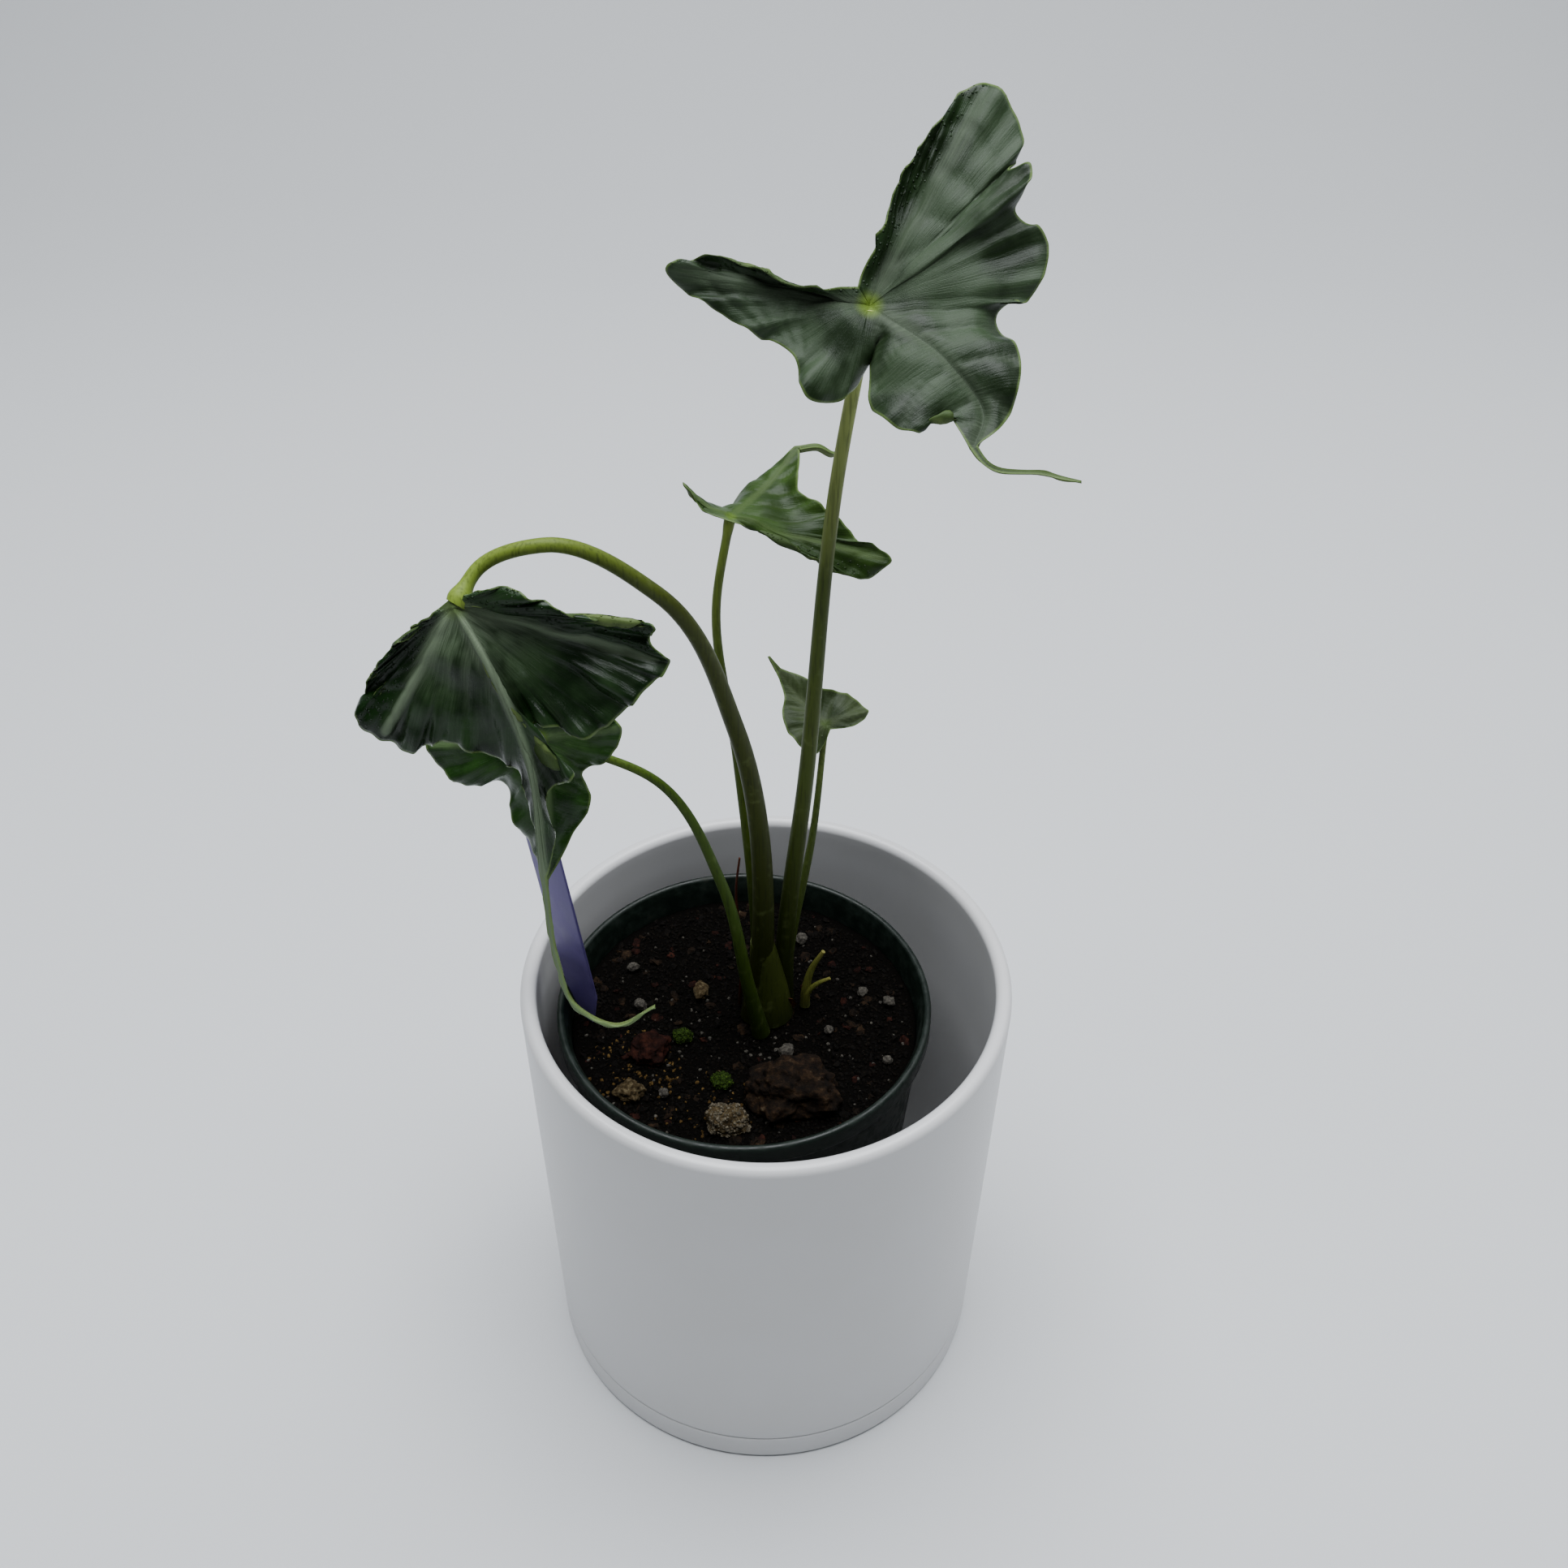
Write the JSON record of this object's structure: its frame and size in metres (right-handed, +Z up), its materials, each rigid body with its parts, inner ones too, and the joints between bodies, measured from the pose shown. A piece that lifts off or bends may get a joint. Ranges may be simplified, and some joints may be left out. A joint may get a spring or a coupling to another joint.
{
  "type": "potted alocasia",
  "caption": "Young alocasia with twisted arrow-shaped leaves on long stems, in a grower's pot set inside a round white cover pot with a flush drip saucer.",
  "frame": {"origin": "middle of the saucer's flat underside, on the table", "axes": "+Z up; -Y towards the viewer, so +X is the viewer's right; the drooping leaf hangs towards -X"},
  "size_m": [0.16, 0.14, 0.3721],
  "materials": {
    "white_pot": "satin moulded white",
    "nursery_plastic": "thin dark green plastic",
    "soil": "moist potting mix",
    "bark": "rough bark",
    "red_bark": "rough reddish bark",
    "pale_bark": "dry pale bark",
    "moss": "soft moss",
    "perlite": "white expanded mineral grains",
    "corm": "brown skin",
    "bract": "dry papery scale",
    "root": "reddish root",
    "shoot": "withered yellow-green",
    "stem": "smooth olive green",
    "grey_leaf": "silvery grey-green leaf",
    "dark_leaf": "glossy dark green leaf",
    "mid_leaf": "mid green leaf",
    "label": "violet plastic strip"
  },
  "bodies": {
    "root": {"cover_pot": "white_pot", "drip_saucer": "white_pot", "nursery_pot": "nursery_plastic", "potting_soil": "soil", "corm": "corm", "stem_top": "stem", "stem_drooping": "stem", "stem_low": "stem", "stem_back": "stem", "stem_small": "stem", "leaf_top": "grey_leaf", "leaf_drooping": "dark_leaf", "leaf_low": "dark_leaf", "leaf_back": "mid_leaf", "leaf_small": "grey_leaf", "papery_bract": "bract", "withered_shoot": "shoot", "aerial_root": "root", "plant_label": "label", "bark_chunk": "bark", "bark_crust": "pale_bark", "red_bark": "red_bark", "pale_bark": "pale_bark", "bark_shard": "pale_bark", "moss_left": "moss", "moss_front": "moss", "perlite_1": "perlite", "perlite_2": "perlite", "perlite_3": "perlite", "perlite_4": "perlite", "perlite_5": "perlite", "perlite_6": "perlite", "perlite_7": "perlite", "perlite_8": "perlite", "perlite_9": "perlite"}
  },
  "joints": []
}
